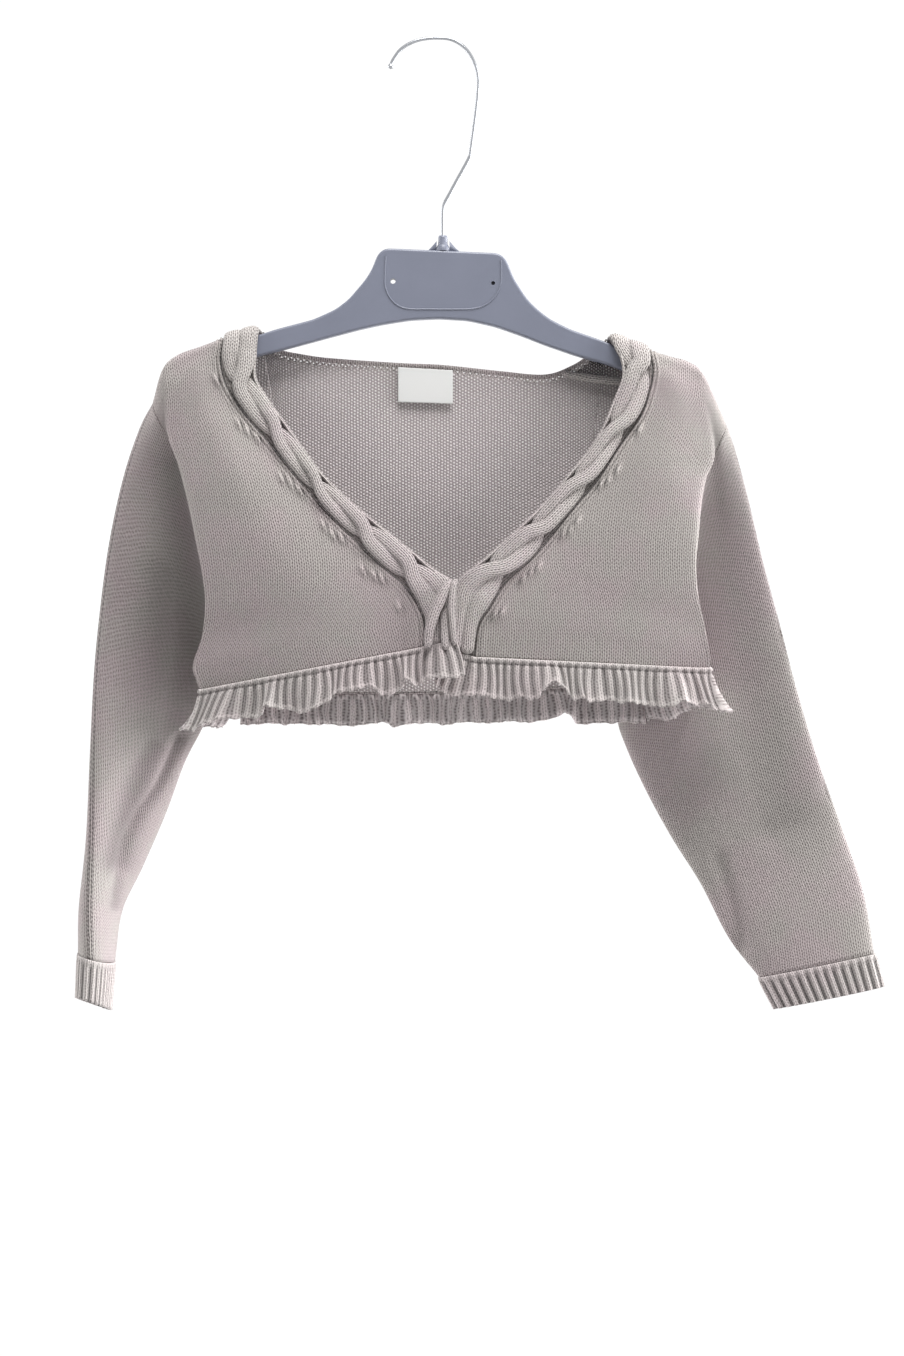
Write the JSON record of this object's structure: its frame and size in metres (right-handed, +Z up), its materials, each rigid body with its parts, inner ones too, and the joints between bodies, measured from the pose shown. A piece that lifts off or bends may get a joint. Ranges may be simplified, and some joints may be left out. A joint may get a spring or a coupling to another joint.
{
  "type": "cardigan on hanger",
  "caption": "Child's knitted bolero cardigan with cable front bands, ruffled rib hem and rib cuffs, on a plastic hanger with a wire hook",
  "frame": {"origin": "underside of the hook wire at the top of its loop, where a rail or peg carries the hanger", "axes": "+X to the right as one faces the cardigan, +Y to its back, +Z up; the cardigan hangs towards -Z"},
  "size_m": [0.4548, 0.0767, 0.5459],
  "materials": {
    "knit": "taupe cotton jersey knit",
    "label": "bare white woven label",
    "hanger_plastic": "moulded blue-grey plastic, satin",
    "hook_wire": "bright drawn steel wire"
  },
  "bodies": {
    "root": {"front_left": "knit", "front_right": "knit", "back": "knit", "back_neck_edging": "knit", "band_left": "knit", "band_right": "knit", "sleeve_left": "knit", "sleeve_right": "knit", "cuff_left": "knit", "cuff_right": "knit", "hem_front_left": "knit", "hem_front_right": "knit", "hem_back": "knit", "label": "label", "hanger": "hanger_plastic", "ferrule": "hanger_plastic", "hook": "hook_wire"}
  },
  "joints": []
}
